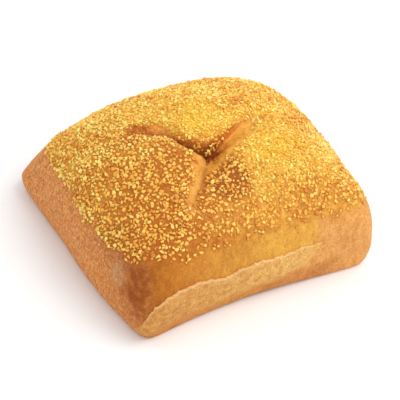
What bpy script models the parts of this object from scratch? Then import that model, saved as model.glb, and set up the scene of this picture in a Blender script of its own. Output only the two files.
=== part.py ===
"""A square bread roll topped with maize grits: one baked solid, standing on its flat base.

Metres, +Z up. The side with the pale torn skin faces -Y, and the origin is under the middle
of the roll. A cube's grid is pushed into the dome, the split top is sunk into it, and the torn
skin and the largest grits are fused on.
"""

import math
import random

import bmesh
import bpy
import numpy as np
from mathutils import Matrix, Vector, noise

# ---- The whole roll ----------------------------------------------------------------------
FRONT_WIDTH = 0.100  # between the upright edges at the two ends of the front side
SIDE_LENGTH = 0.0955  # between those at the two ends of the left side
CROWN_HEIGHT = 0.0489  # from the table to the top of the dome, before it splits
BELLY_HEIGHT = 0.010  # level at which the sides stand furthest out
BELLY_TURN = math.radians(75)  # how far the sides turn under, from upright
UNDERCUT = 0.06  # what they draw in below the belly, as a share of half the width
SIDE_FULLNESS = 2.75  # power of the upright section: 2 is an ellipse, more is squarer
CROWN_SQUARENESS = 3.3  # power of the plan near the top
CROWN_SHARE = math.radians(52)  # how far down the dome the cube's top face reaches
FRONT_LIFT = 0.0010  # how far the front side's foot curls up off the table

# How far the middle of each side stands out from the line between its corners, and how much
# of that moves towards the side's +X or +Y end.
FRONT_BOW, FRONT_SKEW = -0.0047, -0.36
BACK_BOW, BACK_SKEW = 0.0031, -0.18
LEFT_BOW, LEFT_SKEW = 0.0054, -0.155
RIGHT_BOW, RIGHT_SKEW = 0.0054, 0.15

# Each corner: its side of X and of Y, the plan's squareness at its foot, the share of height
# that it lacks, how far its foot is drawn out along X and along Y, and the share of the foot's
# height pinched off.
CORNERS = (
    (-1, -1, 20.0, 0.20, 0.0013, -0.0023, 0.14),
    (1, -1, 24.0, -0.08, 0.0009, -0.0008, 0.04),
    (-1, 1, 18.0, 0.12, 0.0049, 0.0049, 0.28),
    (1, 1, 15.0, 0.17, 0.0, 0.0, 0.0),
)

CORNER_REACH = 0.14  # how near to a corner its shares start: 0 is the side's middle, 1 the corner

# ---- The split top -----------------------------------------------------------------------
# Each split runs outwards from where the three meet. A row is a point of its bottom line:
# X, Y, depth below the dome, and how wide its bank is on the left and on the right.
LEFT_SPLIT = (
    (-0.0038, -0.0054, 0.0062, 0.0038, 0.0011),
    (-0.0071, -0.0027, 0.0050, 0.0042, 0.0011),
    (-0.0109, 0.0032, 0.0034, 0.0046, 0.0017),
    (-0.0137, 0.0093, 0.0027, 0.0048, 0.0038),
    (-0.0193, 0.0132, 0.0023, 0.0046, 0.0048),
    (-0.0290, 0.0158, 0.0000, 0.0038, 0.0034),
)
RIGHT_SPLIT = (
    (-0.0038, -0.0054, 0.0062, 0.0018, 0.0034),
    (0.0006, -0.0036, 0.0070, 0.0012, 0.0048),
    (0.0064, -0.0010, 0.0048, 0.0014, 0.0060),
    (0.0119, 0.0012, 0.0034, 0.0018, 0.0062),
    (0.0187, 0.0035, 0.0024, 0.0022, 0.0056),
    (0.0290, 0.0052, 0.0000, 0.0024, 0.0040),
)
NEAR_SPLIT = (
    (-0.0038, -0.0054, 0.0062, 0.0050, 0.0034),
    (-0.0086, -0.0116, 0.0050, 0.0075, 0.0040),
    (-0.0129, -0.0168, 0.0038, 0.0085, 0.0042),
    (-0.0190, -0.0230, 0.0022, 0.0070, 0.0034),
    (-0.0250, -0.0295, 0.0000, 0.0040, 0.0026),
)
LINE_STEPS = 5  # pieces of the smooth line between two rows
BEYOND = 0.1  # well outside the roll

# Each lobe between the splits puffs up: the middle of the puff, its radius and its height.
PUFFS = (
    (0.0020, 0.0200, 0.0140, 0.0010),
    (0.0220, -0.0120, 0.0130, 0.0014),
    (-0.0230, -0.0060, 0.0130, 0.0008),
)
LIP = (-0.0030, -0.0008)  # the back lobe's lip, which hangs over where the splits meet
LIP_RADIUS = 0.0066
LIP_REACH = 0.0026

LUMP_SIZE = 0.017
LUMP_HEIGHT = 0.0010
LUMP_SEED = 9

# ---- The torn skin on the front side -----------------------------------------------------
SKIN_STANDS_OUT = 0.0011
SKIN_FOOT = 0.0035  # height of its lower edge
SKIN_TOP = 0.0210  # height of its ragged upper edge
SKIN_RAGGED = 0.0014
SKIN_CLIMB = 0.0030  # how far along the side it climbs to its full height
SKIN_ENDS = (-0.97, 0.68)  # where it starts and dies out, as shares of half the width
SKIN_BURIED = 0.0022
SKIN_COLUMNS = 40
SKIN_ROWS = 3

# ---- The grits ---------------------------------------------------------------------------
GRIT_COUNT = 225
GRIT_SIZES = (0.0019, 0.0027)
GRIT_SPACING = 0.0039
GRIT_SUNK = 0.34  # share of a grit that is below the crust
GRIT_LINE = 0.030  # height down to which the top was dipped
GRIT_LINE_WANDERS = 0.0025
GRIT_SEED = 7

GRID = 30  # cells along each side of the cube
WALL_ROWS = 7
CENTRE_FINENESS = 0.60  # width of the middle cells against the average
FLAT_BASE = 0.86  # share of the base that touches the table

CRUST_COLOUR = (0.70, 0.36, 0.09, 1.0)
CRUST_ROUGHNESS = 0.62


def smooth_step(low, high, value):
    """0 below low, 1 above high, and an even S between them."""
    share = np.clip((value - low) / (high - low), 0.0, 1.0)
    return share * share * (3.0 - 2.0 * share)


# ---- The dome ----------------------------------------------------------------------------
def meridian(ring, level):
    """Where the dome's upright section runs, for points of the cube.

    ring runs from 0 in the middle of the cube's top or bottom face to 1 on its edge, and
    level from 1 at the cube's top to -1 at its bottom. Returns the reach as a share of half
    the width, the height, and how near the crown the point is, from 1 to 0.
    """
    belly_level = -0.4
    down_wall = (1.0 - level) / (1.0 - belly_level)
    lean = CROWN_SHARE + (math.pi / 2 - CROWN_SHARE) * np.clip(down_wall, 0.0, 1.0)
    lean = np.where(level >= 1.0, ring * CROWN_SHARE, lean)
    turn = np.clip((belly_level - level) / (belly_level + 1.0), 0.0, 1.0) * BELLY_TURN

    power = 2.0 / SIDE_FULLNESS
    crown = np.cos(lean).clip(0.0) ** power
    reach = np.sin(lean) ** power * (1.0 - UNDERCUT * (1.0 - np.cos(turn)))
    rise = (CROWN_HEIGHT - BELLY_HEIGHT) * crown
    height = rise + BELLY_HEIGHT * (1.0 - np.sin(turn) / math.sin(BELLY_TURN))
    return np.where(level <= -1.0, reach * ring, reach), height, crown


def dome(cube_points):
    """The roll before its top splits: points of a cube of side 2, moved onto it."""
    a, b, level = cube_points.T
    ring = np.maximum(np.abs(a), np.abs(b))
    centre = ring < 1e-9
    safe_ring = np.where(centre, 1.0, ring)
    across, along = np.where(centre, 1.0, a / safe_ring), np.where(centre, 0.0, b / safe_ring)
    reach, height, crown = meridian(ring, level)

    quarters = [(across * side_x > 0) & (along * side_y > 0) for side_x, side_y, *_ in CORNERS]
    squareness = np.select(quarters, [corner[2] for corner in CORNERS], 12.0)
    squareness = squareness + (CROWN_SQUARENESS - squareness) * crown
    rounding = (np.abs(across) ** squareness + np.abs(along) ** squareness) ** (-1.0 / squareness)
    x = FRONT_WIDTH / 2 * reach * rounding * across
    y = SIDE_LENGTH / 2 * reach * rounding * along

    near_corner = smooth_step(CORNER_REACH, 1.0, np.abs(across * along))
    for quarter, corner in zip(quarters, CORNERS):
        side_x, side_y, _, lacking, drawn_x, drawn_y, pinch = corner
        here = near_corner * quarter
        height = height - np.maximum(height - BELLY_HEIGHT, 0.0) * lacking * here * reach**3
        at_foot = here * reach**6 * (1.0 - crown) ** 2
        height = height * (1.0 - pinch * at_foot)
        x, y = x + side_x * drawn_x * at_foot, y + side_y * drawn_y * at_foot

    on_side = 0.9999
    bulge_x, bulge_y = ((1.0 - part**2) ** 1.5 * reach**2 for part in (across, along))
    y = y - FRONT_BOW * (1.0 + FRONT_SKEW * across) * bulge_x * (along < -on_side)
    y = y + BACK_BOW * (1.0 + BACK_SKEW * across) * bulge_x * (along > on_side)
    x = x - LEFT_BOW * (1.0 + LEFT_SKEW * along) * bulge_y * (across < -on_side)
    x = x + RIGHT_BOW * (1.0 + RIGHT_SKEW * along) * bulge_y * (across > on_side)

    near_foot = 1.0 - smooth_step(0.0, 1.6 * BELLY_HEIGHT, height)
    off_middle = smooth_step(FLAT_BASE - 0.01, 0.95, reach)
    height = height + FRONT_LIFT * bulge_x * (along < -on_side) * near_foot * off_middle
    return np.stack([x, y, height], axis=1)


# ---- The split top -----------------------------------------------------------------------
def smooth_line(rows):
    """A smooth curve through a split's rows, as more rows."""
    rows = np.array(rows)
    padded = np.vstack([2.0 * rows[0] - rows[1], rows, 2.0 * rows[-1] - rows[-2]])
    line = [rows[0]]
    for before, here, there, after in zip(padded, padded[1:], padded[2:], padded[3:]):
        for t in np.linspace(0.0, 1.0, LINE_STEPS + 1)[1:]:
            bend = (2.0 * before - 5.0 * here + 4.0 * there - after) * t * t
            turn = (3.0 * here - before - 3.0 * there + after) * t**3
            line.append(0.5 * (2.0 * here + (there - before) * t + bend + turn))
    return np.array(line)


def nearest_on(line, x, y):
    """Distance to a split's bottom line on the plan, and the line's last three values there."""
    distance, values = np.full(x.shape, np.inf), np.zeros((3,) + x.shape)
    for here, there in zip(line, line[1:]):
        ahead = there[:2] - here[:2]
        run = ((x - here[0]) * ahead[0] + (y - here[1]) * ahead[1]) / (ahead @ ahead)
        run = np.clip(run, 0.0, 1.0)
        off = np.hypot(x - here[0] - run * ahead[0], y - here[1] - run * ahead[1])
        closer = off < distance
        between = here[2:, None] + (there - here)[2:, None] * run
        values = np.where(closer, between, values)
        distance = np.where(closer, off, distance)
    return distance, *values


def inside(outline, x, y):
    """True where a point of the plan lies inside a closed outline."""
    crossed = np.zeros(x.shape, bool)
    for (x0, y0), (x1, y1) in zip(outline, outline[1:] + outline[:1]):
        if y0 != y1:
            crossed ^= ((y0 > y) != (y1 > y)) & (x < x0 + (x1 - x0) * (y - y0) / (y1 - y0))
    return crossed


def lobes(x, y):
    """Two masks over the plan: the back lobe and the left lobe. The rest is the right lobe."""
    lines = (smooth_line(rows)[:, :2].tolist() for rows in (LEFT_SPLIT, RIGHT_SPLIT, NEAR_SPLIT))
    left, right, near = lines
    back_edge = [(BEYOND, 0.01), (BEYOND, BEYOND), (-BEYOND, BEYOND), (-BEYOND, 0.02)]
    left_edge = [(-BEYOND, 0.02), (-BEYOND, -BEYOND)]
    return inside(right + back_edge + left[::-1], x, y), inside(left + left_edge + near[::-1], x, y)


def banks(rows, x, y):
    """How deep a split sinks its left bank and its right bank, over the plan."""
    distance, depth, left_width, right_width = nearest_on(smooth_line(rows), x, y)
    return [depth * np.exp(-((distance / width) ** 2)) for width in (left_width, right_width)]


def both(fall, other):
    """Two falls together, the deeper one mostly, with a rounded change between them."""
    return (np.maximum(fall, 0.0) ** 3 + np.maximum(other, 0.0) ** 3) ** (1.0 / 3.0)


def split_depth(x, y):
    """How deep the splits are sunk below the dome: each lobe falls off to the two beside it."""
    left, right, near = (banks(rows, x, y) for rows in (LEFT_SPLIT, RIGHT_SPLIT, NEAR_SPLIT))
    on_back, on_left = lobes(x, y)
    front_lobes = np.where(on_left, both(left[0], near[1]), both(right[1], near[0]))
    return np.where(on_back, both(left[1], right[0]), front_lobes)


def baked_form(cube_points):
    """The roll without grits: the dome, its split top and the soft lumps of the crust."""
    bare = dome(cube_points)
    x, y, height = bare.T
    on_top = smooth_step(0.55, 0.80, height / CROWN_HEIGHT)
    puffed = height
    for middle_x, middle_y, radius, rise in PUFFS:
        puff = np.exp(-((np.hypot(x - middle_x, y - middle_y) / radius) ** 2))
        puffed = puffed + rise * puff * on_top
    depth = split_depth(x, y)
    sunk = puffed - depth * on_top

    near_lip = np.exp(-((np.hypot(x - LIP[0], y - LIP[1]) / LIP_RADIUS) ** 2)) * lobes(x, y)[0]
    hang = LIP_REACH * near_lip * np.exp(-depth / LIP_REACH)
    to_meeting = np.array(LEFT_SPLIT[0][:2]) - LIP
    to_meeting /= np.linalg.norm(to_meeting)

    off_base = smooth_step(0.0, BELLY_HEIGHT, height)[:, None]
    noise.seed_set(LUMP_SEED)
    lumps = np.array([noise.noise_vector(Vector(place) / LUMP_SIZE)[:] for place in bare])
    moved = np.stack([x + hang * to_meeting[0], y + hang * to_meeting[1], sunk], axis=1)
    return moved + LUMP_HEIGHT * lumps * off_base


# ---- Meshes ------------------------------------------------------------------------------
def cube_grid():
    """A closed cube of side 2: finest in the middle of its top, with a ring on its bottom."""
    mesh = bmesh.new()
    even = [2.0 * i / GRID - 1.0 for i in range(GRID + 1)]
    steps = [s * (CENTRE_FINENESS + (1.0 - CENTRE_FINENESS) * s * s) for s in even]
    top = [[mesh.verts.new((x, y, 1.0)) for y in steps] for x in steps]
    for i in range(GRID):
        for j in range(GRID):
            mesh.faces.new((top[i][j], top[i + 1][j], top[i + 1][j + 1], top[i][j + 1]))

    edge = [(i, 0) for i in range(GRID)] + [(GRID, j) for j in range(GRID)]
    edge += [(GRID - i, GRID) for i in range(GRID)] + [(0, GRID - j) for j in range(GRID)]
    rows = [(1.0, 1.0 - 2.0 * row / WALL_ROWS) for row in range(1, WALL_ROWS + 1)]
    above = [top[i][j] for i, j in edge]
    for shrink, level in rows + [(FLAT_BASE, -1.0)]:
        below = [mesh.verts.new((steps[i] * shrink, steps[j] * shrink, level)) for i, j in edge]
        for k in range(len(edge)):
            after = (k + 1) % len(edge)
            mesh.faces.new((above[k], below[k], below[after], above[after]))
        above = below
    mesh.faces.new(above[::-1])
    return mesh


def new_object(name, mesh):
    data = bpy.data.meshes.new(name)
    mesh.to_mesh(data)
    mesh.free()
    made = bpy.data.objects.new(name, data)
    bpy.context.scene.collection.objects.link(made)
    return made


def make_bare_roll():
    mesh = cube_grid()
    moved = baked_form(np.array([v.co[:] for v in mesh.verts]))
    for vertex, place in zip(mesh.verts, moved):
        vertex.co = place
    roll = new_object("maize_roll", mesh)
    bpy.context.view_layer.update()
    return roll


def skin_edge(along):
    """Height of the torn skin's ragged upper edge, so far along the front side."""
    start = SKIN_ENDS[0] * FRONT_WIDTH / 2
    climb = 1.0 - 0.85 * math.exp(-(along - start) / SKIN_CLIMB)
    slow = noise.noise(Vector((along / 0.009, 1.7, 0.0)))
    fast = noise.noise(Vector((along / 0.0025, 9.1, 0.0)))
    return SKIN_FOOT + (SKIN_TOP - SKIN_FOOT) * climb + SKIN_RAGGED * (slow + 0.6 * fast)


def make_torn_skin(roll):
    """The pale strip on the front side: a slab sunk in the wall and a little proud of it."""
    mesh = bmesh.new()
    rings = []
    for i in range(SKIN_COLUMNS + 1):
        passed = i / SKIN_COLUMNS
        along = (SKIN_ENDS[0] + (SKIN_ENDS[1] - SKIN_ENDS[0]) * passed) * FRONT_WIDTH / 2
        stands_out = SKIN_STANDS_OUT * (1.0 - smooth_step(0.75, 1.0, passed))
        outer, inner = [], []
        for j in range(SKIN_ROWS + 1):
            height = SKIN_FOOT + (skin_edge(along) - SKIN_FOOT) * j / SKIN_ROWS
            ahead = Vector((0.0, 1.0, 0.0))
            _, place, outward, _ = roll.ray_cast(Vector((along, -FRONT_WIDTH, height)), ahead)
            proud = stands_out * smooth_step(0.0, 0.4, j / SKIN_ROWS) - 0.0002 * (j == 0)
            outer.append(mesh.verts.new(place + outward * proud))
            inner.append(mesh.verts.new(place + ahead * SKIN_BURIED))
        rings.append(outer + inner[::-1])
    for ring, next_ring in zip(rings, rings[1:]):
        for k in range(len(ring)):
            after = (k + 1) % len(ring)
            mesh.faces.new((ring[k], ring[after], next_ring[after], next_ring[k]))
    mesh.faces.new(rings[0][::-1])
    mesh.faces.new(rings[-1])
    bmesh.ops.triangulate(mesh, faces=mesh.faces)
    bmesh.ops.recalc_face_normals(mesh, faces=mesh.faces)
    return new_object("torn_skin", mesh)


def bare_of_grits(x, y):
    """1 where the crust has torn bare along a split, 0 well clear of the splits."""
    x, y = np.atleast_1d(x), np.atleast_1d(y)
    bare = np.zeros(x.shape)
    for rows in (LEFT_SPLIT, RIGHT_SPLIT, NEAR_SPLIT):
        distance, depth, left_width, right_width = nearest_on(smooth_line(rows), x, y)
        width = np.minimum(np.minimum(left_width, right_width), 0.0035)
        torn = smooth_step(0.0, 0.002, depth)
        bare = np.maximum(bare, torn * np.exp(-((distance / width) ** 2)))
    return bare


def grit_places(roll):
    """Where the grits lie: points thrown on the top, kept where they are far enough apart."""
    draw = random.Random(GRIT_SEED)
    kept = []
    for _ in range(GRIT_COUNT * 80):
        x = draw.uniform(-0.55, 0.55) * FRONT_WIDTH
        y = draw.uniform(-0.55, 0.55) * SIDE_LENGTH
        hit, place, outward, _ = roll.ray_cast(Vector((x, y, 1.0)), Vector((0.0, 0.0, -1.0)))
        line = GRIT_LINE + draw.uniform(-1.0, 1.0) * GRIT_LINE_WANDERS
        if not hit or place.z < line or bare_of_grits(x, y)[0] > draw.uniform(0.2, 0.7):
            continue
        if all((place - other).length > GRIT_SPACING for other, _ in kept):
            kept.append((place, outward))
        if len(kept) == GRIT_COUNT:
            break
    return kept


def make_grits(roll):
    """An angular chip at each place, sunk into the crust."""
    draw = random.Random(GRIT_SEED + 1)
    grits = []
    for place, outward in grit_places(roll):
        size = draw.uniform(*GRIT_SIZES)
        chip = bmesh.new()
        bmesh.ops.create_cube(chip, size=size * 0.72)
        for vertex in chip.verts:
            vertex.co *= draw.uniform(0.82, 1.2)
        bmesh.ops.triangulate(chip, faces=chip.faces)
        squash = Matrix.Diagonal((draw.uniform(0.9, 1.3), draw.uniform(0.8, 1.0), 0.9, 1.0))
        tilt = Matrix.Rotation(draw.uniform(-0.5, 0.5), 4, "X")
        twist = Matrix.Rotation(draw.uniform(0.0, math.tau), 4, "Z")
        stand = outward.to_track_quat("Z", "Y").to_matrix().to_4x4()
        lift = Matrix.Translation(place + outward * size * (0.5 - GRIT_SUNK))
        chip.transform(lift @ stand @ twist @ tilt @ squash)
        grits.append(new_object("grit", chip))
    return grits


def fuse(roll, pieces):
    """Joins the pieces to the roll with one union, and removes them."""
    together = bpy.data.collections.new("fused_on")
    bpy.context.scene.collection.children.link(together)
    for piece in pieces:
        bpy.context.scene.collection.objects.unlink(piece)
        together.objects.link(piece)
    union = roll.modifiers.new("fuse", "BOOLEAN")
    union.operation = "UNION"
    union.operand_type = "COLLECTION"
    union.collection = together
    union.solver = "EXACT"
    bpy.context.view_layer.objects.active = roll
    bpy.ops.object.modifier_apply(modifier=union.name)
    for piece in pieces:
        bpy.data.objects.remove(piece)
    bpy.data.collections.remove(together)


def centre_on_origin(roll):
    """Puts the origin under the middle of the roll's box, on the table."""
    places = np.array([v.co[:] for v in roll.data.vertices])
    low, high = places.min(axis=0), places.max(axis=0)
    middle = (low + high) / 2
    roll.data.transform(Matrix.Translation((-middle[0], -middle[1], -low[2])))


def crust_material():
    crust = bpy.data.materials.new("crust")
    crust.use_nodes = True
    shader = crust.node_tree.nodes["Principled BSDF"]
    shader.inputs["Base Color"].default_value = CRUST_COLOUR
    shader.inputs["Roughness"].default_value = CRUST_ROUGHNESS
    shader.inputs["Metallic"].default_value = 0.0
    crust.diffuse_color = CRUST_COLOUR
    return crust


def main():
    for old in list(bpy.data.objects):
        bpy.data.objects.remove(old)
    roll = make_bare_roll()
    fuse(roll, [make_torn_skin(roll)] + make_grits(roll))
    centre_on_origin(roll)
    roll.data.materials.clear()
    roll.data.materials.append(crust_material())
    roll.data.shade_flat()


if __name__ == "__main__":
    main()
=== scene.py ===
# %% [markdown]
# # A square maize roll
#
# This lesson dresses a plain solid as a baked bread roll: a square, domed roll whose top was
# dipped in maize grits, split three ways in the oven, and kept a pale torn skin along the foot
# of its front side. The solid has already been made and packed, so the first step loads it.
# It never moves: everything made below is laid over it.

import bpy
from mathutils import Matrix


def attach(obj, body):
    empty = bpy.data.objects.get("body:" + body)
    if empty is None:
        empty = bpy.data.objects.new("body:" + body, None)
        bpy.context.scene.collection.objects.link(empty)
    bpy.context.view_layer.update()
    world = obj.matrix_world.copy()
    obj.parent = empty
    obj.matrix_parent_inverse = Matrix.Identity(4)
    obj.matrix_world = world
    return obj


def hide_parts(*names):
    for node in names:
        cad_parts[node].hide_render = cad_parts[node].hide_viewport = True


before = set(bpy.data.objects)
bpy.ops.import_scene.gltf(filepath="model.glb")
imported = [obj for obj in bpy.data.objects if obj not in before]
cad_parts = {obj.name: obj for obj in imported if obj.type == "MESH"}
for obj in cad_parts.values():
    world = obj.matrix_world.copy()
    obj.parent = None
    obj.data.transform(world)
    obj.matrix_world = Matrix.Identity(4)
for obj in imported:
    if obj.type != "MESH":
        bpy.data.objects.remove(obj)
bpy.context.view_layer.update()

# %% Blender's own modules
import math

import bmesh
import bpy
import numpy as np
from mathutils import Matrix, Vector, noise
from mathutils.bvhtree import BVHTree
from mathutils.kdtree import KDTree

# %% [markdown]
# ## The camera
#
# The roll is seen from its near corner, from well above. A camera can be placed by hand, or
# built from three facts: the way it looks, how far off it stands, and how many pixels a metre
# takes up there. Facts are easier to correct, so they come first and the lens follows.

# %% The camera
FORM_SHIFT = Vector((0.0002, -0.0029, 0.0))  # from the bare form's middle to the frame's origin
AZIMUTH, ELEVATION, ROLL = (math.radians(angle) for angle in (-34.97, 43.21, 7.0))
DISTANCE, AIM_HEIGHT = 0.7, 0.018
SENSOR_WIDTH = 36.0  # millimetres
PICTURE_WIDTH = 400  # pixels
PIXELS_PER_MM = 2.574
SHIFT_RIGHT, SHIFT_UP = -3.74, -6.0  # pixels

aim = Vector((0.0, 0.0, AIM_HEIGHT)) + FORM_SHIFT
back = Vector((math.sin(AZIMUTH), -math.cos(AZIMUTH), math.tan(ELEVATION))).normalized()
turned = back.to_track_quat("Z", "Y").to_matrix() @ Matrix.Rotation(ROLL, 3, "Z")
lens_data = bpy.data.cameras.new("roll_camera")
lens_data.sensor_width = SENSOR_WIDTH
lens_data.lens = SENSOR_WIDTH * DISTANCE * PIXELS_PER_MM * 1000 / PICTURE_WIDTH
lens_data.shift_x, lens_data.shift_y = SHIFT_RIGHT / PICTURE_WIDTH, SHIFT_UP / PICTURE_WIDTH
lens_data.clip_start = 0.01
camera = bpy.data.objects.new("roll_camera", lens_data)
camera.location = aim + DISTANCE * back
camera.rotation_euler = turned.to_euler()
bpy.context.scene.collection.objects.link(camera)
bpy.context.scene.camera = camera
print("lens, mm:", round(lens_data.lens, 1))

# %% [markdown]
# ## The dome
#
# Dough that was cut square and left to rise keeps four corners at its foot and grows round
# above them. A subdivided cube pushed with sculpting brushes would do, but it would never match
# the solid. Here every point of a cube is moved by one function instead: the cube gives the
# four sides, and a power curve rounds them. A power of 2 is a circle and a large one a square,
# so the power falls from the foot to the crown.

# %% How a cube's point finds its place on the dome
FRONT_WIDTH, SIDE_LENGTH = 0.100, 0.0955
CROWN_HEIGHT, BELLY_HEIGHT = 0.0489, 0.010
BELLY_TURN = math.radians(75)
UNDERCUT = 0.06
SIDE_FULLNESS = 2.75
CROWN_SHARE = math.radians(52)
BELLY_LEVEL = -0.4


def smooth_step(low, high, value):
    """0 below low, 1 above high, and an even S between them."""
    share = np.clip((value - low) / (high - low), 0.0, 1.0)
    return share * share * (3.0 - 2.0 * share)


def meridian(ring, level):
    """The dome's upright section: its reach from the middle, its height, how near the crown."""
    down_wall = (1.0 - level) / (1.0 - BELLY_LEVEL)
    lean = CROWN_SHARE + (math.pi / 2 - CROWN_SHARE) * np.clip(down_wall, 0.0, 1.0)
    lean = np.where(level >= 1.0, ring * CROWN_SHARE, lean)
    turn = np.clip((BELLY_LEVEL - level) / (BELLY_LEVEL + 1.0), 0.0, 1.0) * BELLY_TURN
    power = 2.0 / SIDE_FULLNESS
    crown = np.cos(lean).clip(0.0) ** power
    reach = np.sin(lean) ** power * (1.0 - UNDERCUT * (1.0 - np.cos(turn)))
    rise = (CROWN_HEIGHT - BELLY_HEIGHT) * crown
    height = rise + BELLY_HEIGHT * (1.0 - np.sin(turn) / math.sin(BELLY_TURN))
    return np.where(level <= -1.0, reach * ring, reach), height, crown


print(f"the dome stands {1000 * CROWN_HEIGHT:.1f} mm high, its belly {1000 * BELLY_HEIGHT:.1f} mm")

# %% [markdown]
# No two sides of a real roll are alike. Each one bows in or out by a few millimetres, and each
# corner has its own height and sharpness: the left one is drawn out and low, the right one is
# plump. A short row of numbers for each keeps those differences easy to find and change.

# %% The four sides and the four corners
CROWN_SQUARENESS, MIDDLE_SQUARENESS = 3.3, 12.0
FRONT_LIFT = 0.0010  # how far the front's foot rises off the tray
FLAT_BASE = 0.86  # share of the base that lies flat
CORNER_REACH = 0.14
FRONT_BOW, BACK_BOW = (-0.0047, -0.36), (0.0031, -0.18)  # how far a side bows out, and its skew
LEFT_BOW, RIGHT_BOW = (0.0054, -0.155), (0.0054, 0.15)
ON_A_SIDE = 0.9999
CORNERS = (  # side of X, of Y, squareness, height lacking, drawn out along X, along Y, pinched off
    (-1, -1, 20.0, 0.20, 0.0013, -0.0023, 0.14),
    (1, -1, 24.0, -0.08, 0.0009, -0.0008, 0.04),
    (-1, 1, 18.0, 0.12, 0.0049, 0.0049, 0.28),
    (1, 1, 15.0, 0.17, 0.0, 0.0, 0.0),
)


def bow(amount_and_skew, place, bulge):
    """How far a side bows out at a place along it, from -1 to 1."""
    amount, skew = amount_and_skew
    return amount * (1.0 + skew * place) * bulge


def dome(cube_points):
    """The roll before its top splits: points of a cube of side 2, moved onto it."""
    a, b, level = cube_points.T
    ring = np.maximum(np.abs(a), np.abs(b))
    centre = ring < 1e-9
    safe_ring = np.where(centre, 1.0, ring)
    across, along = np.where(centre, 1.0, a / safe_ring), np.where(centre, 0.0, b / safe_ring)
    reach, height, crown = meridian(ring, level)

    quarters = [(across * side_x > 0) & (along * side_y > 0) for side_x, side_y, *_ in CORNERS]
    squareness = np.select(quarters, [corner[2] for corner in CORNERS], MIDDLE_SQUARENESS)
    squareness = squareness + (CROWN_SQUARENESS - squareness) * crown
    rounding = (np.abs(across) ** squareness + np.abs(along) ** squareness) ** (-1.0 / squareness)
    x = FRONT_WIDTH / 2 * reach * rounding * across
    y = SIDE_LENGTH / 2 * reach * rounding * along

    near_corner = smooth_step(CORNER_REACH, 1.0, np.abs(across * along))
    for quarter, corner in zip(quarters, CORNERS):
        side_x, side_y, _, lacking, drawn_x, drawn_y, pinch = corner
        here = near_corner * quarter
        height = height - np.maximum(height - BELLY_HEIGHT, 0.0) * lacking * here * reach**3
        at_foot = here * reach**6 * (1.0 - crown) ** 2
        height = height * (1.0 - pinch * at_foot)
        x, y = x + side_x * drawn_x * at_foot, y + side_y * drawn_y * at_foot

    bulge_x, bulge_y = ((1.0 - part**2) ** 1.5 * reach**2 for part in (across, along))
    y = y - bow(FRONT_BOW, across, bulge_x) * (along < -ON_A_SIDE)
    y = y + bow(BACK_BOW, across, bulge_x) * (along > ON_A_SIDE)
    x = x - bow(LEFT_BOW, along, bulge_y) * (across < -ON_A_SIDE)
    x = x + bow(RIGHT_BOW, along, bulge_y) * (across > ON_A_SIDE)

    near_foot = 1.0 - smooth_step(0.0, 1.6 * BELLY_HEIGHT, height)
    off_middle = smooth_step(FLAT_BASE - 0.01, 0.95, reach)
    height = height + FRONT_LIFT * bulge_x * (along < -ON_A_SIDE) * near_foot * off_middle
    return np.stack([x, y, height], axis=1)


middles = dome(np.array([(side, 0.0, BELLY_LEVEL) for side in (-1.0, 1.0)]))
print(f"from side to side the dome measures {1000 * np.ptp(middles[:, 0]):.1f} mm")

# %% [markdown]
# ## The split top
#
# In the oven the crust sets before the middle has finished growing, so it tears. Three splits
# meet in a deep pit and part the top into three lobes, and the back lobe hangs over the pit
# like a lip. A split could be sculpted, or carved with a curve and a displacement. A written
# one is better here, because the same lines later say where the crust is bare of grits and
# where it is brown. Each row is a point of a split's bottom line: X, Y, depth, and how wide
# the bank is on its left and on its right.

# %% The three splits, as lines
LEFT_SPLIT = (
    (-0.0038, -0.0054, 0.0062, 0.0038, 0.0011),
    (-0.0071, -0.0027, 0.0050, 0.0042, 0.0011),
    (-0.0109, 0.0032, 0.0034, 0.0046, 0.0017),
    (-0.0137, 0.0093, 0.0027, 0.0048, 0.0038),
    (-0.0193, 0.0132, 0.0023, 0.0046, 0.0048),
    (-0.0290, 0.0158, 0.0000, 0.0038, 0.0034),
)
RIGHT_SPLIT = (
    (-0.0038, -0.0054, 0.0062, 0.0018, 0.0034),
    (0.0006, -0.0036, 0.0070, 0.0012, 0.0048),
    (0.0064, -0.0010, 0.0048, 0.0014, 0.0060),
    (0.0119, 0.0012, 0.0034, 0.0018, 0.0062),
    (0.0187, 0.0035, 0.0024, 0.0022, 0.0056),
    (0.0290, 0.0052, 0.0000, 0.0024, 0.0040),
)
NEAR_SPLIT = (
    (-0.0038, -0.0054, 0.0062, 0.0050, 0.0034),
    (-0.0086, -0.0116, 0.0050, 0.0075, 0.0040),
    (-0.0129, -0.0168, 0.0038, 0.0085, 0.0042),
    (-0.0190, -0.0230, 0.0022, 0.0070, 0.0034),
    (-0.0250, -0.0295, 0.0000, 0.0040, 0.0026),
)
LINE_STEPS = 5


def smooth_line(rows):
    """A smooth curve through a split's rows, as more rows."""
    rows = np.array(rows)
    padded = np.vstack([2.0 * rows[0] - rows[1], rows, 2.0 * rows[-1] - rows[-2]])
    line = [rows[0]]
    for before, here, there, after in zip(padded, padded[1:], padded[2:], padded[3:]):
        for t in np.linspace(0.0, 1.0, LINE_STEPS + 1)[1:]:
            bend = (2.0 * before - 5.0 * here + 4.0 * there - after) * t * t
            turn = (3.0 * here - before - 3.0 * there + after) * t**3
            line.append(0.5 * (2.0 * here + (there - before) * t + bend + turn))
    return np.array(line)


SPLIT_LINES = [smooth_line(rows) for rows in (LEFT_SPLIT, RIGHT_SPLIT, NEAR_SPLIT)]
for name, line in zip(("left", "right", "near"), SPLIT_LINES):
    steps = np.hypot(*np.diff(line[:, :2], axis=0).T)
    print(f"the {name} split is {1000 * steps.sum():.0f} mm long")


# %% Which lobe a point lies on, and how deep it is
BEYOND = 0.1  # well outside the roll


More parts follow.
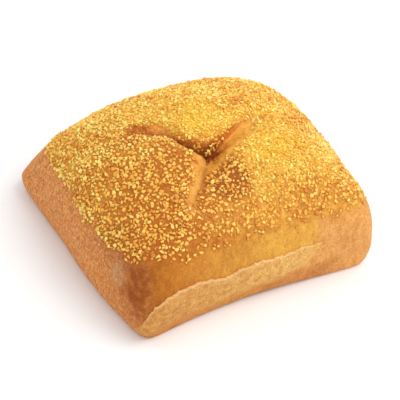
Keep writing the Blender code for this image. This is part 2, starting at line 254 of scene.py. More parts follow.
def nearest_on(line, x, y):
    """Distance to a split's bottom line on the plan, and the line's last three values there."""
    distance, values = np.full(x.shape, np.inf), np.zeros((3,) + x.shape)
    for here, there in zip(line, line[1:]):
        ahead = there[:2] - here[:2]
        run = ((x - here[0]) * ahead[0] + (y - here[1]) * ahead[1]) / (ahead @ ahead)
        run = np.clip(run, 0.0, 1.0)
        off = np.hypot(x - here[0] - run * ahead[0], y - here[1] - run * ahead[1])
        closer = off < distance
        values = np.where(closer, here[2:, None] + (there - here)[2:, None] * run, values)
        distance = np.where(closer, off, distance)
    return distance, *values


def inside(outline, x, y):
    """True where a point of the plan lies inside a closed outline."""
    crossed = np.zeros(x.shape, bool)
    for (x0, y0), (x1, y1) in zip(outline, outline[1:] + outline[:1]):
        if y0 != y1:
            crossed ^= ((y0 > y) != (y1 > y)) & (x < x0 + (x1 - x0) * (y - y0) / (y1 - y0))
    return crossed


def lobes(x, y):
    """Two masks over the plan: the back lobe and the left lobe. The rest is the right lobe."""
    left, right, near = (line[:, :2].tolist() for line in SPLIT_LINES)
    back_edge = [(BEYOND, 0.01), (BEYOND, BEYOND), (-BEYOND, BEYOND), (-BEYOND, 0.02)]
    left_edge = [(-BEYOND, 0.02), (-BEYOND, -BEYOND)]
    return inside(right + back_edge + left[::-1], x, y), inside(left + left_edge + near[::-1], x, y)


def both(fall, other):
    """Two falls together, the deeper one mostly, with a rounded change between them."""
    return (np.maximum(fall, 0.0) ** 3 + np.maximum(other, 0.0) ** 3) ** (1.0 / 3.0)


def split_depth(x, y):
    """How deep the splits are sunk below the dome: each lobe falls off to the two beside it."""
    falls = []
    for line in SPLIT_LINES:
        distance, depth, *widths = nearest_on(line, x, y)
        falls.append([depth * np.exp(-((distance / width) ** 2)) for width in widths])
    left, right, near = falls
    on_back, on_left = lobes(x, y)
    front_lobes = np.where(on_left, both(left[0], near[1]), both(right[1], near[0]))
    return np.where(on_back, both(left[1], right[0]), front_lobes)


pit_x, pit_y = (np.array([part]) for part in RIGHT_SPLIT[1][:2])
print(f"the pit is sunk {1000 * split_depth(pit_x, pit_y)[0]:.1f} mm")

# %% [markdown]
# The lobes between the splits puff up, the back one hangs over the pit, and slow noise gives
# the whole crust the soft lumps of risen dough. The noise is seeded, so the roll is the same
# roll each time the script runs.

# %% The baked form
PUFFS = (  # middle X, middle Y, radius, rise
    (0.0020, 0.0200, 0.0140, 0.0010),
    (0.0220, -0.0120, 0.0130, 0.0014),
    (-0.0230, -0.0060, 0.0130, 0.0008),
)
LIP, LIP_RADIUS, LIP_REACH = (-0.0030, -0.0008), 0.0066, 0.0026
LUMP_SIZE, LUMP_HEIGHT, LUMP_SEED = 0.017, 0.0010, 9


def baked_form(cube_points):
    """The dome with its split top and the soft lumps of the crust."""
    bare = dome(cube_points)
    x, y, height = bare.T
    on_top = smooth_step(0.55, 0.80, height / CROWN_HEIGHT)
    puffed = height
    for middle_x, middle_y, radius, rise in PUFFS:
        puff = np.exp(-((np.hypot(x - middle_x, y - middle_y) / radius) ** 2))
        puffed = puffed + rise * puff * on_top
    depth = split_depth(x, y)
    near_lip = np.exp(-((np.hypot(x - LIP[0], y - LIP[1]) / LIP_RADIUS) ** 2)) * lobes(x, y)[0]
    hang = LIP_REACH * near_lip * np.exp(-depth / LIP_REACH)
    to_meeting = np.array(LEFT_SPLIT[0][:2]) - LIP
    to_meeting /= np.linalg.norm(to_meeting)

    off_base = smooth_step(0.0, BELLY_HEIGHT, height)[:, None]
    noise.seed_set(LUMP_SEED)
    lumps = np.array([noise.noise_vector(Vector(place) / LUMP_SIZE)[:] for place in bare])
    moved = [x + hang * to_meeting[0], y + hang * to_meeting[1], puffed - depth * on_top]
    return np.stack(moved, axis=1) + LUMP_HEIGHT * lumps * off_base


middle = baked_form(np.array([(0.0, 0.0, 1.0)]))[0]
print(f"the middle of the top is {1000 * middle[2]:.1f} mm high")

# %% [markdown]
# ## The crust's mesh
#
# The cube starts as a grid, finest in the middle of its top where the splits are, with rows
# down the walls and a few rings under the base. Cells of half a millimetre are small enough
# to carry the tear's raw edges as real shape, which a bump in the material couldn't.

# %% A fine cube
GRID, WALL_ROWS, CENTRE_FINENESS = 176, 62, 0.55
BASE_RINGS = (0.95, FLAT_BASE, 0.70, 0.50, 0.30, 0.12)


def cube_grid():
    """A closed cube of side 2: finest in the middle of its top, with rings on its bottom."""
    mesh = bmesh.new()
    even = [2.0 * i / GRID - 1.0 for i in range(GRID + 1)]
    steps = [s * (CENTRE_FINENESS + (1.0 - CENTRE_FINENESS) * s * s) for s in even]
    top = [[mesh.verts.new((x, y, 1.0)) for y in steps] for x in steps]
    for i in range(GRID):
        for j in range(GRID):
            mesh.faces.new((top[i][j], top[i + 1][j], top[i + 1][j + 1], top[i][j + 1]))
    edge = [(i, 0) for i in range(GRID)] + [(GRID, j) for j in range(GRID)]
    edge += [(GRID - i, GRID) for i in range(GRID)] + [(0, GRID - j) for j in range(GRID)]
    rows = [(1.0, 1.0 - 2.0 * row / WALL_ROWS) for row in range(1, WALL_ROWS + 1)]
    above = [top[i][j] for i, j in edge]
    for shrink, level in rows + [(ring, -1.0) for ring in BASE_RINGS]:
        below = [mesh.verts.new((steps[i] * shrink, steps[j] * shrink, level)) for i, j in edge]
        for k in range(len(edge)):
            after = (k + 1) % len(edge)
            mesh.faces.new((above[k], below[k], below[after], above[after]))
        above = below
    mesh.faces.new(above[::-1])
    return mesh


def new_piece(name, mesh):
    """A bmesh as a named object in the scene."""
    data = bpy.data.meshes.new(name)
    mesh.to_mesh(data)
    mesh.free()
    made = bpy.data.objects.new(name, data)
    bpy.context.scene.collection.objects.link(made)
    return made


def places_of(data):
    """A mesh's points as rows of X, Y, Z."""
    flat = np.empty(3 * len(data.vertices), np.float32)
    data.vertices.foreach_get("co", flat)
    return flat.reshape(-1, 3).astype(float)


def outward_of(data):
    """A mesh's point normals as rows of X, Y, Z."""
    flat = np.empty(3 * len(data.vertices), np.float32)
    data.vertex_normals.foreach_get("vector", flat)
    return flat.reshape(-1, 3).astype(float)


print(f"the cube's top has {GRID} by {GRID} cells, over {WALL_ROWS} rows of wall")

# %% Making the crust
SMOOTHED_ABOVE = 0.036  # only the top's splits are smoothed
OPEN_DEPTH = 0.0002  # a split counts as open where it is sunk deeper than this
SMOOTHING_PASSES = 3
ALL_AXES = {"use_axis_x": True, "use_axis_y": True, "use_axis_z": True}

crust_mesh = cube_grid()
baked = baked_form(np.array([v.co[:] for v in crust_mesh.verts]))
for vertex, place in zip(crust_mesh.verts, baked):
    vertex.co = Vector(place)
in_a_split = split_depth(baked[:, 0], baked[:, 1]) > OPEN_DEPTH
in_a_split &= baked[:, 2] > SMOOTHED_ABOVE
banks_of_splits = [v for v, sunk in zip(crust_mesh.verts, in_a_split) if sunk]
for _ in range(SMOOTHING_PASSES):
    bmesh.ops.smooth_vert(crust_mesh, verts=banks_of_splits, factor=0.5, **ALL_AXES)
crust = new_piece("crust", crust_mesh)
print("the crust has", len(crust.data.polygons), "faces")

# %% [markdown]
# ## Where the crust is bare, brown or gritted
#
# Almost everything that follows asks the same questions of a point on the roll: is it above
# the line down to which the top was dipped, has it torn bare, how deep in a split is it? Each
# answer is written once, as a mask from 0 to 1. The masks place the grits, colour the crust
# and roughen it, so those three can't disagree. A mask's soft edge is a `smooth_step`: it is
# 0 at the first number and 1 at the second, and both are metres on the bare form.

# %% Above the dip line
DIP_SIDES, DIP_FRONT = 0.0276, 0.0330  # the line's height at the sides and in front
DIP_WAVES = (0.0022, 0.0065, 0.0), (0.0014, 0.0026, 5.0)  # swing, length, offset of each wave
DIP_SWAY = ((0.0060, 0.032, 12.0),)  # one slow wave along the back
DIP_FADE, SOFT_FADE = 0.0008, 0.0022  # half the height over which a mask goes from 0 to 1


def wandering(places, length, offset=0.0):
    """Soft noise, one value from -1 to 1 for each place."""
    moved = np.asarray(places) / length + offset
    return np.array([noise.noise(Vector(place)) for place in moved])


def waves(places, rows, one_sided=False):
    """Several soft noises together. Each row has a swing, a length and an offset."""
    total = np.zeros(len(places))
    for swing, length, offset in rows:
        wave = wandering(places, length, offset)
        total = total + swing * (np.abs(wave) if one_sided else wave)
    return total


def above_dip(places):
    """How far above the dip line a point is. The line wanders, and is highest in front."""
    _, y, height = places.T
    line = DIP_SIDES + (DIP_FRONT - DIP_SIDES) * smooth_step(-0.024, -0.038, y)
    sway = waves(places, DIP_SWAY) * smooth_step(-0.005, 0.030, y)
    return height - line - waves(places, DIP_WAVES) - sway


def dipped(over_dip, fade=DIP_FADE):
    """1 on the gritted top and 0 on the bare sides, from the height above the dip line."""
    return smooth_step(-fade, fade, over_dip)


print(f"the dip line's height: sides {1000 * DIP_SIDES:.1f} mm, front {1000 * DIP_FRONT:.1f} mm")

# %% Torn walls
TOP_LEVEL = 0.030  # a point higher than this lies on the top
RAGGED = (0.0013, 0.0036, 3.0), (0.0005, 0.0013, 8.0)  # swing, length, offset of a tear's edge
SHALLOW = 0.0016  # where a split is no deeper, no bare line runs along its bottom


def beside_splits(places):
    """Distance to each split's line and the line's depth there, for left, right and near."""
    x, y, _ = places.T
    return [nearest_on(line, x, y)[:2] for line in SPLIT_LINES]


def split_walls(places):
    """The four torn walls: distance to the split, its depth, the torn lobe, width, softness."""
    x, y, _ = places.T
    on_back, on_left = lobes(x, y)
    (left, left_depth), (right, right_depth), (near, near_depth) = beside_splits(places)
    # The bowl at the left split's end is wide, and closes where the split runs out.
    bowl_width = 0.0008 + 0.0040 * smooth_step(-0.0107, -0.0130, x)
    bowl_width = bowl_width + 0.0009 * smooth_step(-0.018, -0.023, x)
    bowl_width = bowl_width * smooth_step(-0.0002, 0.0010, left_depth)
    # The bank opposite is bare only near the pit, the right arm only where its split is deep.
    bank_width = 0.0038 * smooth_step(-0.0170, -0.0100, x)
    arm_width = 0.0096 * smooth_step(0.0019, 0.0034, right_depth)
    near_width = 0.0012 + 0.85 * near_depth
    return (
        (left, left_depth, on_back, bowl_width, 0.0009),
        (left, left_depth, on_left, bank_width, 0.0012),
        (right, right_depth, ~on_back & ~on_left, arm_width, 0.0026),
        (near, near_depth, on_left, near_width, 0.0012),
    )


def torn_bare(places):
    """1 on the walls that opened after the top was dipped, so that no grits lie on them."""
    ragged = waves(places, RAGGED)
    short_of_end = smooth_step(-0.0300, -0.0225, places[:, 0] + 1.6 * ragged)
    bare = np.zeros(len(places))
    for distance, depth, torn_lobe, width, softness in split_walls(places):
        past_edge = distance + ragged - width
        wall = smooth_step(0.4 * softness, -softness, past_edge) * (depth > OPEN_DEPTH)
        in_bottom = smooth_step(0.0012, 0.0006, distance + 0.0014 * (depth < SHALLOW))
        bare = np.maximum(bare, np.maximum(torn_lobe * wall * short_of_end, in_bottom))
    return bare * (places[:, 2] > TOP_LEVEL)


print("walls that tear:", len(split_walls(np.zeros((1, 3)))))

# %% Cracks and soft spots
CRACK_WIDTH, CRACK_DEPTH = 0.0007, 0.0011
SPOTS = {  # the middle of each soft spot on the roll, and its radii
    "near corner": ((-0.0500, -0.0335, 0.0245), (0.0130, 0.0124, 0.0135)),
    "near corner's foot": ((-0.0505, -0.0410, 0.0130), (0.0060, 0.0070, 0.0110)),
    "dusty corner": ((-0.0526, -0.0262, 0.0215), (0.0042, 0.0034, 0.0046)),
    "thin left edge": ((-0.0480, -0.0165, 0.0325), (0.0060, 0.0090, 0.0060)),
    "far left edge": ((-0.0440, 0.0015, 0.0380), (0.0065, 0.0090, 0.0060)),
    "near edge": ((-0.0100, -0.0365, 0.0375), (0.0100, 0.0040, 0.0070)),
    "quiet place": ((-0.0110, -0.0315, 0.0430), (0.0085, 0.0034, 0.0060)),
    "lemon shoulder": ((0.0215, -0.0135, 0.0490), (0.0110, 0.0100, 0.0080)),
    "lemon behind the pit": ((0.0010, 0.0090, 0.0490), (0.0120, 0.0080, 0.0080)),
    "bowl's end": ((-0.0246, 0.0172, 0.0460), (0.0046, 0.0028, 0.0040)),
    "bowl's near bank": ((-0.0223, 0.0112, 0.0460), (0.0055, 0.0022, 0.0040)),
    "bowl's floor": ((-0.0155, 0.0112, 0.0450), (0.0036, 0.0022, 0.0040)),
    "pit": ((-0.0020, -0.0045, 0.0430), (0.0046, 0.0046, 0.0080)),
    "scar": ((-0.0228, -0.0276, 0.0434), (0.0013, 0.0020, 0.0030)),
}


def cracked(places):
    """1 along the bottom of the left split's deep half and of the near split, 0 elsewhere."""
    (left, left_depth), _, (near, near_depth) = beside_splits(places)
    under_lip = np.exp(-((left / CRACK_WIDTH) ** 2)) * smooth_step(0.0020, 0.0034, left_depth)
    in_groove = np.exp(-((near / CRACK_WIDTH) ** 2)) * smooth_step(0.0010, 0.0030, near_depth)
    return np.maximum(under_lip, 0.6 * in_groove) * (places[:, 2] > TOP_LEVEL)


def spot(places, name):
    """A soft spot: 1 in its middle, and near 0 beyond its radii."""
    middle, radii = np.array(SPOTS[name])
    return np.exp(-(((places - middle) / radii) ** 2).sum(axis=1))


print("soft spots:", len(SPOTS))

# %% The masks of the crust's own points
form = places_of(crust.data)
# the crack's line: sunk into the form here, and painted with shadow later
shadowed_crack = cracked(form)
form[:, 2] -= CRACK_DEPTH * shadowed_crack
crust.data.vertices.foreach_set("co", form.astype(np.float32).ravel())
over_dip = above_dip(form)
gritted, bare = dipped(over_dip), torn_bare(form)
depth = split_depth(form[:, 0], form[:, 1]) * (form[:, 2] > TOP_LEVEL)
print(f"{100 * gritted.mean():.0f} % of the points are dipped, {100 * bare.mean():.1f} % torn bare")

# %% [markdown]
# ## The fine relief
#
# Baked crust is never smooth. It carries low blisters a few millimetres across, a crumbly
# paste of meal on its dipped top, and, where it tore, short stretched strands. Each is noise
# of its own size, added along the surface's own outward direction, and each is held to the
# places it belongs to.

# %% Blisters, meal paste and torn strands
BLISTERS = (0.00026, 0.0062, 0.0), (0.00012, 0.0023, 7.0)  # swing, length, offset of each wave
MEAL_PASTE = (0.00030, 0.0016, 2.0), (0.00016, 0.0008, 6.0)
LONG_STRANDS, FINE_STRANDS = ((0.00045, 0.0021, 11.0),), ((0.00022, 0.0010, 13.0),)
DRAWN_UP = (1.0, 1.0, 0.45)  # squeezes height, so that long strands run upwards

crust.data.update()
outward = outward_of(crust.data)
off_base = smooth_step(0.0004, 0.004, form[:, 2])
blisters = waves(form, BLISTERS)
pasted = waves(form, MEAL_PASTE, one_sided=True) * gritted * (1.0 - bare)
strands = (waves(form * DRAWN_UP, LONG_STRANDS) + waves(form, FINE_STRANDS)) * bare
raised = (blisters + pasted + strands) * off_base
surface = form + raised[:, None] * outward
crust.data.vertices.foreach_set("co", surface.astype(np.float32).ravel())
crust.data.transform(Matrix.Translation(FORM_SHIFT))
crust.data.update()
crust.data.shade_smooth()
print(f"the relief runs from {1000 * raised.min():.2f} to {1000 * raised.max():.2f} mm")

# %% [markdown]
# ## The crust's colours
#
# Colour on bread is heat and flour. The thin raised places brown first, the bare left side
# stays pink and matt, and a torn wall is golden because it opened late. The base was never
# seen, so its brown is a guess. Broad zones like these are painted on the points, from the
# masks and a few soft spots, and the material adds the grain that is finer than the mesh.
# Some of the darker colour is painted shade: in the hollow beside the near split, the pit, the
# crack under the lip, on the lip's faces, along the left rim, below the strip and round each grit.

# %% The palette
ZONES = {  # colours as the eye reads them, 0 to 255
    "left_amber": (196, 123, 31),
    "amber": (209, 144, 50),
    "right_amber": (227, 168, 66),
    "right_side": (217, 151, 67),
    "left_side": (219, 140, 63),
    "left_shade": (180, 103, 42),
    "right_foot": (230, 164, 86),
    # browner below the strip, with painted shade where the wall turns under
    "under_strip": (192, 118, 54),
    "dark_corner": (154, 75, 4),
    "dusty": (204, 156, 108),
    "foot": (206, 136, 70),
    "base": (184, 112, 54),
    "under_grits": (193, 117, 37),
    "under_right": (233, 171, 72),
    # browned ground, which along the left rim is also painted shade under the grits
    "toasted_and_shaded": (180, 98, 28),
    "meal_gold": (236, 190, 68),
    "meal_yellow": (242, 206, 58),
    "quiet_gold": (216, 150, 58),
    "wedge_shade": (162, 90, 34),
    # painted shade on the slope right of the near split, which faces away from the light
    "bruised": (172, 100, 58),
    "torn_gold": (229, 161, 60),
    "arm_end": (236, 180, 76),
    # brown crust with painted shade on the lip's steep face over the right arm
    "arm_edge": (196, 114, 42),
    "near_wall": (226, 162, 72),
    "bowl": (168, 84, 10),
    "bowl_amber": (232, 160, 66),
    "bowl_floor": (172, 98, 46),
    # brown crust with painted shade on the lip's face over the crack
    "lip_face": (206, 126, 54),
    # painted shade deep in the pit
    "pit": (140, 54, 4),
    # painted shadow along the crack under the lip
    "shadowed_crack": (122, 54, 14),
    "scar": (222, 170, 100),
}


def linear(colour):
    """A colour from 0 to 255 as the linear light that shaders reckon in."""
    share = np.array(colour) / 255.0
    return np.where(share > 0.04045, ((share + 0.055) / 1.055) ** 2.4, share / 12.92)


paint = np.tile(linear(ZONES["left_amber"]), (len(form), 1))


def brush(zone, amount):
    """Lays a zone's colour over the paint, by an amount from 0 to 1 at each point."""
    amount = np.clip(amount, 0.0, 1.0)[:, None]
    paint[:] = paint * (1.0 - amount) + linear(ZONES[zone]) * amount


print("zones of colour:", len(ZONES))

# %% [markdown]
# Each brush lies over the ones before it, so the sides are painted from the broadest zone to
# the narrowest. Which way the crust faces says which side it belongs to.

# %% Which way the crust faces, and where it browned
x, y, height = form.T
on_back, on_left = lobes(x, y)
on_right = ~on_back & ~on_left
patchy = 0.5 + 0.5 * wandering(form, 0.012, 20.0)
mottled = 0.6 + 0.4 * patchy
faces_left = smooth_step(0.50, 0.88, -outward[:, 0])
faces_right = smooth_step(0.50, 0.90, outward[:, 0])
faces_back = smooth_step(0.2, 0.8, outward[:, 1])
faces_front = smooth_step(0.3, 0.7, -outward[:, 1])
beneath = smooth_step(0.6, 0.95, -outward[:, 2])
browned = 1.02 * spot(form, "near corner") + 0.45 * spot(form, "near corner's foot")
browned = np.clip(browned * (0.85 + 0.5 * wandering(form, 0.0026, 9.0)), 0.0, 1.0)
print(f"{100 * (browned > 0.5).mean():.1f} % of the points are dark brown at the near corner")

# %% Painting the bare sides
under_rim = smooth_step(-0.0110, -0.0010, over_dip) * smooth_step(0.006, -0.022, y)
foot_end = smooth_step(0.014, 0.028, x) * smooth_step(0.024, 0.017, height)
behind_strip = smooth_step(0.002, 0.012, x) * smooth_step(0.0205, 0.0175, height)
right_end = smooth_step(0.0215, 0.0290, x + 0.002 * patchy)
right_foot = np.maximum.reduce([foot_end, behind_strip, right_end]) * faces_front
under_strip = smooth_step(0.0115, 0.0075, height) * faces_front
under_strip = under_strip * smooth_step(-0.006, 0.008, x) * smooth_step(0.040, 0.028, x)
brush("amber", smooth_step(-0.040, -0.008, x + 0.008 * patchy))
brush("right_amber", smooth_step(-0.008, 0.016, x + 0.008 * patchy))
brush("right_side", smooth_step(0.1, 0.7, outward[:, 0]))
brush("left_side", faces_left + faces_back * (0.55 + 0.35 * patchy))
brush("left_shade", 0.75 * faces_left * under_rim * mottled)
brush("foot", 0.6 * smooth_step(0.010, 0.003, height))
brush("base", beneath * (0.65 + 0.35 * patchy))
brush("right_foot", right_foot)
# below the strip: browned, with painted shade where the wall turns under to the base
brush("under_strip", 0.8 * under_strip * mottled)
brush("dark_corner", browned)
brush("dusty", 0.8 * spot(form, "dusty corner"))
print(f"the pale right foot covers {100 * (right_foot > 0.5).mean():.0f} % of the points")

# %% [markdown]
# The top was pressed into a tray of grits and took them unevenly: packed on the back lobe and
# the right shoulder, in clumps along the left rim, and as single grains on the front. Two
# patches of the meal are deep yellow, and a hollow beside the near split, which faces away from
# the light, is painted in shade. The crust's colour and the grains both ask where, so each of
# these is a function of any place.

# %% Where the grits lie packed, thin and deep yellow
WEDGE, WEDGE_RADII = (-0.0042, -0.0200), (0.0082, 0.0105)


def packed(places):
    """1 where the grits lie packed, 0 where single grains stand apart."""
    x, y, _ = places.T
    on_back, on_left = lobes(x, y)
    shoulder = smooth_step(-0.038, -0.026, y) * smooth_step(-0.002, 0.010, x)
    past_split = smooth_step(-0.022, -0.034, x)
    to_back = smooth_step(0.012, 0.046, y + 0.006 * wandering(places, 0.008, 33.0))
    back = 1.0 + (to_back - 1.0) * past_split
    left = 0.5 * smooth_step(0.004, 0.022, y) * (1.0 - past_split) + to_back * past_split
    return np.where(on_back, back, np.where(on_left, left, shoulder))


def on_rim(places):
    """1 along the left lobe's outer edge, where coarse grains lie in thick clumps."""
    x, y, _ = places.T
    on_back, on_left = lobes(x, y)
    far_end = smooth_step(-0.006, 0.012, y)
    edge = smooth_step(-0.0400, -0.0475, x) * smooth_step(-0.024, -0.004, y)
    lobe = np.where(on_back, smooth_step(-0.024, -0.034, x), on_left)
    return np.maximum(far_end, edge) * lobe


def lemon_patches(places):
    """1 on the two patches where the meal is deep yellow."""
    behind_pit = spot(places, "lemon behind the pit") * lobes(places[:, 0], places[:, 1])[0]
    return np.maximum(spot(places, "lemon shoulder"), behind_pit)


def in_wedge(places):
    """1 in the hollow right of the near split, where shade is painted, with soft edges."""
    x, y, _ = places.T
    on_back, on_left = lobes(x, y)
    out = np.hypot((x - WEDGE[0]) / WEDGE_RADII[0], (y - WEDGE[1]) / WEDGE_RADII[1])
    out = out + 0.12 * wandering(places, 0.005, 40.0)
    return smooth_step(1.2, 0.75, out) * ~on_back * ~on_left


thick = packed(form)
print(f"the grits lie packed over {100 * (thick * gritted > 0.5).mean():.0f} % of the points")

# %% Painting the dipped top
(left, _), (right, _), (near, _) = beside_splits(form)
soft_dip = dipped(over_dip, SOFT_FADE)
scattered = smooth_step(0.05, 0.45, wandering(form, 0.0034, 50.0))
toasted_and_shaded_rim = smooth_step(0.0080, 0.0, over_dip) * smooth_step(-0.026, -0.042, x)
toasted_and_shaded_rim = toasted_and_shaded_rim * smooth_step(0.006, -0.020, y)
yellow_clouds = smooth_step(0.0, 0.5, wandering(form, 0.0090, 70.0))
shaded_near_bank = smooth_step(0.0030, 0.0012, near) * smooth_step(-0.0270, -0.0200, y)
bruised = smooth_step(-0.0125, -0.0165, x) * smooth_step(-0.0360, -0.0300, x)
bruised = bruised * smooth_step(-0.50, 0.10, wandering(form, 0.0040, 61.0))
bruised = bruised * smooth_step(0.0080, 0.0040, left)
for zone, amount in (
    ("under_grits", 1.0),
    ("under_right", smooth_step(-0.014, 0.010, x + 0.006 * patchy)),
    ("toasted_and_shaded", 0.5 * (1.0 - thick) * scattered),
    ("quiet_gold", 0.9 * spot(form, "quiet place")),
    ("right_amber", 0.7 * spot(form, "near edge")),
    ("amber", 0.7 * spot(form, "far left edge")),
    ("meal_gold", thick * (0.55 + 0.45 * patchy)),
    ("meal_gold", 0.6 * on_rim(form) * patchy),
    # the left rim's ground: browned, and darkened with painted shade under its clumps of grits
    ("toasted_and_shaded", 0.8 * toasted_and_shaded_rim),
):
    brush(zone, amount * soft_dip)
brush("meal_yellow", 0.9 * lemon_patches(form))
for zone, amount in (
    ("meal_yellow", 0.7 * thick * yellow_clouds),
    # painted shade on the hollow and the bank right of the near split
    ("wedge_shade", in_wedge(form)),
    ("wedge_shade", 0.75 * shaded_near_bank * on_right),
    ("bruised", 0.95 * bruised * on_left),
):
    brush(zone, amount * soft_dip)
print("the top's mean colour, linear:", paint[gritted > 0.5].mean(axis=0).round(2).tolist())

# %% [markdown]
# The splits are painted last. Their walls are golden because they opened late, but the bowl at
# the left split's end is deep brown, the pit is painted in deep shade, and a thin painted shadow
# runs along the bottom of the crack.

# %% Painting the splits
on_top = height > TOP_LEVEL
lip_face = on_back * on_top * smooth_step(0.0028, 0.0016, left)
arm_edge = on_back * on_top * smooth_step(0.0030, 0.0012, right)
golden_end = smooth_step(-0.0185, -0.0150, x) * smooth_step(0.0, 0.002, left)
# the deeper the split, the more painted shade in the pit
deep = smooth_step(0.0015, 0.0045, depth)
for zone, amount in (
    ("torn_gold", bare * ~on_back),
    ("arm_end", bare * ~on_left * smooth_step(0.010, 0.022, x)),
    ("near_wall", bare * on_left),
    ("quiet_gold", bare * on_left * smooth_step(0.0040, 0.0020, left)),
    ("bowl", bare * on_back),
    ("bowl_amber", bare * on_back * golden_end),
    ("bowl", 0.8 * spot(form, "bowl's end")),
    # the lip's steep faces over the splits: brown crust, darkened with painted shade
    ("arm_edge", arm_edge * smooth_step(0.019, 0.009, x)),
    ("lip_face", lip_face * smooth_step(-0.0125, -0.0085, x)),
    ("bowl", 0.5 * spot(form, "bowl's near bank")),
    ("bowl_floor", 0.85 * spot(form, "bowl's floor")),
    # painted shade in the pit, strongest where it is deepest
    ("pit", 1.5 * spot(form, "pit") * deep),
    # painted shadow along the bottom of the crack
    ("shadowed_crack", shadowed_crack),
    ("scar", 0.7 * spot(form, "scar")),
):
    brush(zone, amount)
opaque_paint = np.column_stack([paint, np.ones(len(paint))]).astype(np.float32)
colours = crust.data.color_attributes.new("crust_colour", "FLOAT_COLOR", "POINT")
colours.data.foreach_set("color", opaque_paint.ravel())
print("points painted:", len(paint))

# %% [markdown]
# A mask can also go to the material as a plain number for each point. Here that says how much
# loose flour lies on the bare sides, which the material turns into pale specks.

# %% Numbers for the material
def store(data, name, values):
    """One number for each point of a mesh, under a name that a material can read."""
    numbers = data.attributes.new(name, "FLOAT", "POINT")
    numbers.data.foreach_set("value", np.asarray(values, np.float32))


floury = np.maximum.reduce([
    smooth_step(0.50, 0.90, -outward[:, 0]),
    0.45 * faces_right,
    0.25 * right_foot,
    0.5 * faces_back + 0.6 * beneath * patchy,
])
floury = (0.12 + 0.88 * floury) * (0.65 + 0.35 * patchy)
floury = floury * (1.0 - gritted) * (1.0 - 0.9 * browned)
store(crust.data, "floury", floury)
store(crust.data, "torn", bare)
print(f"{100 * (floury > 0.5).mean():.0f} % of the points are floury")

# %% [markdown]
# ## Materials
#
# Each finish is a small tree of nodes. Writing `tree.nodes.new` and a link for every wire hides
# what the tree does, so short helpers make a node, fill its sockets and wire it in one line. A
# number that is the same all over goes straight onto the shader's own socket.

# %% A helper for nodes
def new_finish(name):
    """A material with an empty tree but for its shader: the material, its tree and the shader."""
    finish = bpy.data.materials.new(name)
    finish.use_nodes = True
    return finish, finish.node_tree, finish.node_tree.nodes["Principled BSDF"]


def add(tree, kind, sockets=(), **settings):
    """A new node with its settings, and each socket either filled with a value or wired."""
    made = tree.nodes.new(kind)
    for name, value in settings.items():
        setattr(made, name, value)
    for socket, value in dict(sockets).items():
        if isinstance(value, bpy.types.NodeSocket):
            tree.links.new(value, made.inputs[socket])
        else:
            made.inputs[socket].default_value = value
    return made


def given(tree, name, output="Fac"):
    """What was stored on the points under a name: a number, or a colour."""
    return add(tree, "ShaderNodeAttribute", attribute_name=name).outputs[output]


# %% Noise, ramps and mixtures
def flecks(tree, scale, detail=3.0, roughness=0.55, squeezed=1.0):
    """Noise over the object's own space. Squeezing its height draws the flecks out upwards."""
    where = tree.nodes.get("where") or add(tree, "ShaderNodeTexCoord", name="where")
    place = where.outputs["Object"]
    if squeezed < 1.0:
        sockets = {"Vector": place, "Scale": (1.0, 1.0, squeezed)}
        place = add(tree, "ShaderNodeMapping", sockets).outputs["Vector"]
    sockets = {"Vector": place, "Scale": scale, "Detail": detail, "Roughness": roughness}
    return add(tree, "ShaderNodeTexNoise", sockets).outputs["Fac"]


def ramp(tree, fac, *stops):
    """A colour ramp with (place, colour) stops, each colour a grey number or red, green, blue."""
    made = add(tree, "ShaderNodeValToRGB", {"Fac": fac})
    elements = made.color_ramp.elements
    while len(elements) < len(stops):
        elements.new(0.5)
    for element, (place, colour) in zip(elements, stops):
        element.position = place
        element.color = (*([colour] * 3 if isinstance(colour, float) else colour), 1.0)
    return made.outputs["Color"]


def mixed(tree, fac, first, second, blend="MIX"):
    """Two colours mixed by a factor."""
    made = add(tree, "ShaderNodeMix", data_type="RGBA", blend_type=blend)
    for index, value in ((0, fac), (6, first), (7, second)):
        if isinstance(value, bpy.types.NodeSocket):
            tree.links.new(value, made.inputs[index])
        else:
            made.inputs[index].default_value = value
    return made.outputs[2]


def tinted(tree, colour, tint):
    """A colour multiplied by another one."""
    return mixed(tree, 1.0, colour, tint, "MULTIPLY")


def reckoned(tree, operation, first, second):
    """Two numbers put together, by MULTIPLY or ADD."""
    return add(tree, "ShaderNodeMath", {0: first, 1: second}, operation=operation).outputs[0]


# %% From a colour to a whole finish
def shown(colour):
    """A colour from 0 to 255 as a socket takes it: linear, and opaque."""
    return (*linear(colour), 1.0)


def wire(tree, shader, colour, roughness):
    """Wires a finish's colour and its roughness into its shader."""
    tree.links.new(colour, shader.inputs["Base Color"])
    tree.links.new(roughness, shader.inputs["Roughness"])


def raise_bump(tree, shader, height, strength, distance):
    """Lets a finish's finest relief stand up as a bump."""
    sockets = {"Strength": strength, "Distance": distance, "Height": height}
    tree.links.new(add(tree, "ShaderNodeBump", sockets).outputs["Normal"], shader.inputs["Normal"])


def fill(shader, **values):
    """Puts constant numbers on the shader's own sockets: `specular_ior_level` and so on."""
    for socket in shader.inputs:
        name = socket.name.lower().replace(" ", "_")
        if name in values:
            socket.default_value = values[name]


print("mid grey reaches a socket as", round(shown((128, 128, 128))[0], 3))

# %% [markdown]
# The crust's own material starts from the painted zones. Over them go a slow mottle, as sugars
# brown unevenly, fine dark pores, and flour: pale specks that only show on the bare sides.
# Round each grit the crust is darker, partly browned and partly painted shade. The same flecks
# roughen it and stand up as a bump, and a trace of light passes through the skin.

# %% The crust's material
STRETCHED, SCORCHED_AND_SHADED = shown((240, 176, 84)), shown((172, 92, 24))
FLAWED, FLOURED = shown((158, 82, 30)), shown((244, 196, 140))

